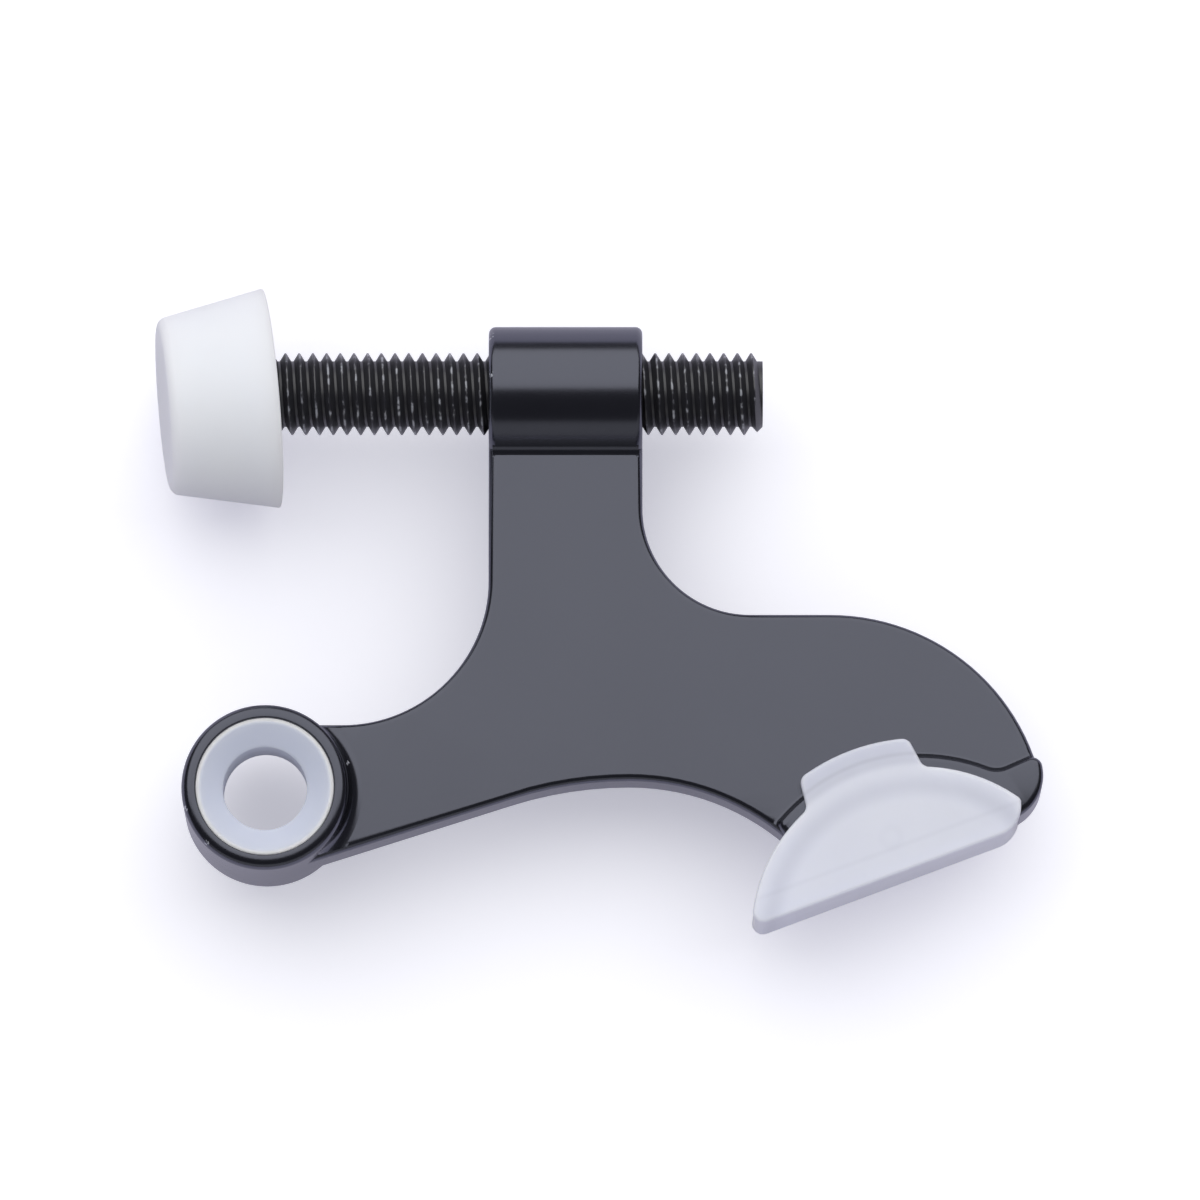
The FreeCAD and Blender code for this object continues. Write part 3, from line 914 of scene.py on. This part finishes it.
def threaded_rod(s):
    """Rod with a right-hand thread, its ends cut square and chamfered."""
    flank = (s.pitch - s.crest_width - s.root_width) / 2
    # A few turns more at each end are cut off
    spare = 3 * s.pitch
    # A crest stands on the upper side at the phase, counted from the frame's origin
    first = ceil((SCREW_START - spare) / s.pitch) * s.pitch + s.crest_phase - s.crest_width / 2
    heights = [0, s.crest_width, s.crest_width + flank, s.pitch - flank, s.pitch]
    radii = [s.radius, s.radius, s.root_radius, s.root_radius, s.radius]
    bm = bmesh.new()
    verts = [bm.verts.new((radius, 0, first + height)) for radius, height in zip(radii, heights)]
    for pair in zip(verts, verts[1:]):
        bm.edges.new(pair)
    bmesh.ops.spin(
        bm, geom=bm.verts[:] + bm.edges[:], cent=ORIGIN, axis=Z_AXIS, dvec=Z_AXIS * (s.pitch / THREAD_STEPS),
        angle=2 * pi, steps=THREAD_STEPS,
    )
    run = s.pitch
    while first + run < SCREW_END + spare:
        made = bmesh.ops.duplicate(bm, geom=bm.verts[:] + bm.edges[:] + bm.faces[:])
        bmesh.ops.translate(bm, verts=list(filter(is_vert, made["geom"])), vec=Z_AXIS * run)
        run *= 2
    bmesh.ops.remove_doubles(bm, verts=bm.verts, dist=MERGE)
    for height, normal in ((SCREW_START, -Z_AXIS), (SCREW_END, Z_AXIS)):
        bmesh.ops.bisect_plane(
            bm, geom=bm.verts[:] + bm.edges[:] + bm.faces[:], plane_co=Z_AXIS * height,
            plane_no=normal, clear_outer=True, dist=MERGE,
        )
        rim = [edge for edge in bm.edges if edge.is_boundary]
        rim = [edge for edge in rim if all(abs(vert.co.z - height) < MERGE for vert in edge.verts)]
        bmesh.ops.edgeloop_fill(bm, edges=rim)
    bmesh.ops.recalc_face_normals(bm, faces=bm.faces)
    for vert in bm.verts:
        inside = min(vert.co.z - SCREW_START, SCREW_END - vert.co.z)
        limit = s.radius - max(0.0, s.end_chamfer - inside)
        radius = vert.co.xy.length
        if radius > limit:
            vert.co.xy *= limit / radius
    bm.transform(ON_SCREW)
    return bm


def bumper_cone(s):
    """Rubber frustum, a little askew on the screw, with a blind hole."""
    cone = turned([
        (0, 0, 0),
        (s.inner_radius, 0, s.inner_edge),
        (s.outer_radius, s.length, s.outer_edge),
        (0, s.length, 0),
    ])
    axis = Vector((-cos(s.turn) * cos(s.droop), -cos(s.turn) * sin(s.droop), sin(s.turn)))
    face = SCREW_AXIS + Vector((s.face_x, -s.face_drop, 0))
    cone.transform(Matrix.Translation(face) @ Z_AXIS.rotation_difference(axis).to_matrix().to_4x4())
    mouth = s.face_x + s.inner_radius
    hole = turned([
        (0, SCREW_START, 0),
        (s.hole_radius, SCREW_START, 0),
        (s.hole_radius, mouth, 0),
        (0, mouth, 0),
    ])
    hole.transform(ON_SCREW)
    return combine(cone, [hole], "DIFFERENCE")


def half_moon(s):
    """Half-moon pad: a sole and two cheeks, with tabs that hook behind the bead."""
    tab_radius = s.radius + s.tab_height
    # The round at the left end touches the sole and the round back
    left_y = s.sole_drop + s.left_corner
    left = Vector((-sqrt((s.radius - s.left_corner) ** 2 - left_y ** 2), left_y, 0))
    left_low = left - Y_AXIS * s.left_corner
    # The right end leans outward from the sole to the round back
    right_low = Vector((s.right_reach, s.sole_drop, 0))
    lean = Vector((sin(s.right_lean), cos(s.right_lean), 0))
    along = right_low.dot(lean)
    right_top = right_low + lean * (sqrt(along ** 2 - right_low.length_squared + s.radius ** 2) - along)
    root = Vector((s.tab_base_width / 2, sqrt(s.radius ** 2 - s.tab_base_width ** 2 / 4), 0))
    top = Vector((s.tab_top_width / 2, sqrt(tab_radius ** 2 - s.tab_top_width ** 2 / 4), 0))
    flip = Vector((-1, 1, 1))
    outline = Outline(left_low)
    outline.line(right_low)
    outline.line(right_top)
    outline.arc(ORIGIN, root)
    outline.line(top)
    outline.arc(ORIGIN, top * flip)
    outline.line(root * flip)
    outline.arc(ORIGIN, left.normalized() * s.radius)
    outline.arc(left, left_low)
    bm = outline.fill()
    round_corners(bm, [right_low], s.right_corner)
    round_corners(bm, [right_top], s.edge)
    round_corners(bm, [top, top * flip], s.tab_corner)
    round_corners(bm, [root, root * flip], s.tab_root)
    bm = round_rims(thicken(bm, s.thickness / 2), s.edge)
    # The foot's bead lies between the cheeks, and the tabs reach in behind it
    floor = s.sole_drop + s.sole_wall
    reach = s.bead_radius + s.clearance
    end = Vector((sqrt(reach ** 2 - floor ** 2), floor, 0))
    race = Outline(end * flip)
    race.line(end)
    race.arc(ORIGIN, Y_AXIS * reach)
    race.arc(ORIGIN, end * flip)
    race = thicken(race.fill(), s.bead_thickness / 2 + s.clearance)
    far = 2 * reach
    slot = Outline(Vector((-far, floor, 0)))
    for corner in ((far, floor), (far, far), (-far, far), (-far, floor)):
        slot.line(Vector(corner).to_3d())
    slot = thicken(slot.fill(), s.web_thickness / 2 + s.clearance)
    bm = combine(bm, [race, slot], "DIFFERENCE")
    bm.transform(Matrix.Translation(SWIVEL) @ Matrix.Rotation(s.turn, 4, "Z"))
    return bm


# Operators

class DOORSTOP_OT_casting(bpy.types.Operator):
    """Add the black casting: eye, web, barrel and foot"""

    bl_idname = "doorstop.casting"
    bl_label = "Casting"

    def execute(self, context):
        s = context.scene.door_stop.casting
        plan = casting_plan(s)
        blends = [eye_blend(s, plan), bead_blend(s, plan)]
        blends += [mirrored_copy(blend) for blend in blends]
        forms = [web(s, plan), eye(s), barrel(s), foot_bead(s, plan), barrel_blend(s, plan), *blends]
        for number, form in enumerate(forms):
            number_form(form, number)
        bm = combine(forms[0], forms[1:], "UNION")
        add_piece(bm, "casting", "body", "body_casting", black_paint(s))
        return {"FINISHED"}


class DOORSTOP_OT_bush(bpy.types.Operator):
    """Add the white bush in the eye"""

    bl_idname = "doorstop.bush"
    bl_label = "Bush"

    def execute(self, context):
        s = context.scene.door_stop.bush
        add_piece(pin_bush(s), "bush", "body", "pin_bush", natural_nylon(s))
        return {"FINISHED"}


class DOORSTOP_OT_screw(bpy.types.Operator):
    """Add the threaded adjusting screw"""

    bl_idname = "doorstop.screw"
    bl_label = "Screw"

    def execute(self, context):
        s = context.scene.door_stop.screw
        add_piece(threaded_rod(s), "screw", "screw", "adjusting_screw", black_steel(s))
        return {"FINISHED"}


class DOORSTOP_OT_bumper(bpy.types.Operator):
    """Add the white rubber bumper"""

    bl_idname = "doorstop.bumper"
    bl_label = "Bumper"

    def execute(self, context):
        s = context.scene.door_stop.bumper
        add_piece(bumper_cone(s), "bumper", "bumper", "bumper_tip", white_rubber(s))
        return {"FINISHED"}


class DOORSTOP_OT_pad(bpy.types.Operator):
    """Add the half-moon pad on the foot"""

    bl_idname = "doorstop.pad"
    bl_label = "Pad"

    def execute(self, context):
        s = context.scene.door_stop.pad
        add_piece(half_moon(s), "pad", "pad", "foot_pad", milky_plastic(s))
        return {"FINISHED"}


class DOORSTOP_OT_stage(bpy.types.Operator):
    """Add the floor, the light and the camera"""

    bl_idname = "doorstop.stage"
    bl_label = "Stage"

    def execute(self, context):
        s = context.scene.door_stop.stage
        add_floor(s)
        add_light(s)
        add_camera(s)
        context.scene.view_settings.view_transform = "Standard"
        return {"FINISHED"}


def seen_directly(tree):
    """One for what the camera sees, itself or in a gloss or through a clear part."""
    path = Signal(tree).node("ShaderNodeLightPath")
    rays = [path.socket.node.outputs[name] for name in ("Is Camera Ray", "Is Glossy Ray", "Is Transmission Ray")]
    camera, glossy, clear = [Signal(tree, socket) for socket in rays]
    return camera.math("MAXIMUM", camera, glossy.math("MAXIMUM", glossy, clear))


def add_floor(s):
    """Pale floor under the object, white to the camera apart from the soft shadow."""
    mesh = bpy.data.meshes.new("floor")
    bm = bmesh.new()
    bmesh.ops.create_grid(bm, x_segments=1, y_segments=1, size=s.floor_size / 2)
    bmesh.ops.translate(bm, verts=bm.verts, vec=Z_AXIS * min(CAD_BOX[0].z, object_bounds()[0].z))
    bm.to_mesh(mesh)
    bm.free()
    material = bpy.data.materials.new("floor")
    material.use_nodes = True
    tree = material.node_tree
    tree.nodes.remove(tree.nodes["Principled BSDF"])
    camera = Signal(tree).node("ShaderNodeLightPath", output="Is Camera Ray")
    lit = camera.node("ShaderNodeBsdfDiffuse", None, {"Color": camera.mix(rgba(s.bounce), rgba(s.floor))})
    glow = lit.node("ShaderNodeEmission", None, {"Color": rgba(s.glow), "Strength": seen_directly(tree)})
    both = lit.node("ShaderNodeAddShader", None, {0: lit, 1: glow})
    tree.links.new(both.socket, tree.nodes["Material Output"].inputs["Surface"])
    mesh.materials.append(material)
    floor = add_object("floor", mesh)
    floor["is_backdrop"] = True


def add_softbox(s, name, box, radiance):
    """Rectangular light that faces the target, leaning from straight above."""
    lamp = bpy.data.lights.new(name, "AREA")
    lamp.shape = "RECTANGLE"
    lamp.size = box.width
    lamp.size_y = box.depth
    lamp.energy = radiance * pi * box.width * box.depth
    softbox = add_object(name, lamp)
    softbox.location = Vector(s.target) + Vector((0, sin(box.lean), cos(box.lean))) * box.distance
    softbox.rotation_euler = (-box.lean, 0, 0)


def add_light(s):
    """Large soft light above and behind the object and a low one in front, in a dim room."""
    world = bpy.data.worlds.new("room")
    bpy.context.scene.world = world
    world.use_nodes = True
    tree = world.node_tree
    background = tree.nodes["Background"]
    camera = Signal(tree).node("ShaderNodeLightPath", output="Is Camera Ray")
    glossy = camera.node("ShaderNodeLightPath", output="Is Glossy Ray")
    light = camera.mix(glossy.mix(rgba(s.soft), rgba(s.room)), (1, 1, 1, 1))
    tree.links.new(light.socket, background.inputs["Color"])
    world.cycles.sampling_method = "NONE"
    add_softbox(s, "key", KEY_LIGHT, s.key)
    add_softbox(s, "fill", FILL_LIGHT, s.fill)


def add_camera(s):
    """Camera almost straight above, leaning to the front."""
    data = bpy.data.cameras.new("camera")
    data.lens = s.lens
    camera = add_object("camera", data)
    back = Vector((0, -sin(s.tilt), cos(s.tilt)))
    camera.location = Vector(s.target) + back * s.distance
    camera.rotation_euler = (-back).to_track_quat("-Z", "Y").to_euler()
    bpy.context.scene.camera = camera


class DOORSTOP_PT_panel(bpy.types.Panel):
    """Lists the door stop's pieces"""

    bl_idname = "DOORSTOP_PT_panel"
    bl_label = "Door Stop"
    bl_space_type = "VIEW_3D"
    bl_region_type = "UI"
    bl_category = "Door Stop"

    def draw(self, context):
        for operator in OPERATORS:
            self.layout.operator(operator.bl_idname)


GROUPS = (
    CastingSettings, BushSettings, ScrewSettings, BumperSettings, PadSettings, StageSettings, DoorStopSettings,
)
OPERATORS = (
    DOORSTOP_OT_casting, DOORSTOP_OT_bush, DOORSTOP_OT_screw, DOORSTOP_OT_bumper, DOORSTOP_OT_pad,
    DOORSTOP_OT_stage,
)
CLASSES = (*GROUPS, *OPERATORS, DOORSTOP_PT_panel)


def register():
    for cls in CLASSES:
        bpy.utils.register_class(cls)
    bpy.types.Scene.door_stop = PointerProperty(type=DoorStopSettings)


def unregister():
    del bpy.types.Scene.door_stop
    for cls in reversed(CLASSES):
        bpy.utils.unregister_class(cls)


def main():
    register()
    bpy.ops.doorstop.casting()
    bpy.ops.doorstop.bush()
    bpy.ops.doorstop.screw()
    bpy.ops.doorstop.bumper()
    bpy.ops.doorstop.pad()
    bpy.ops.doorstop.stage()


if __name__ == "__main__":
    main()
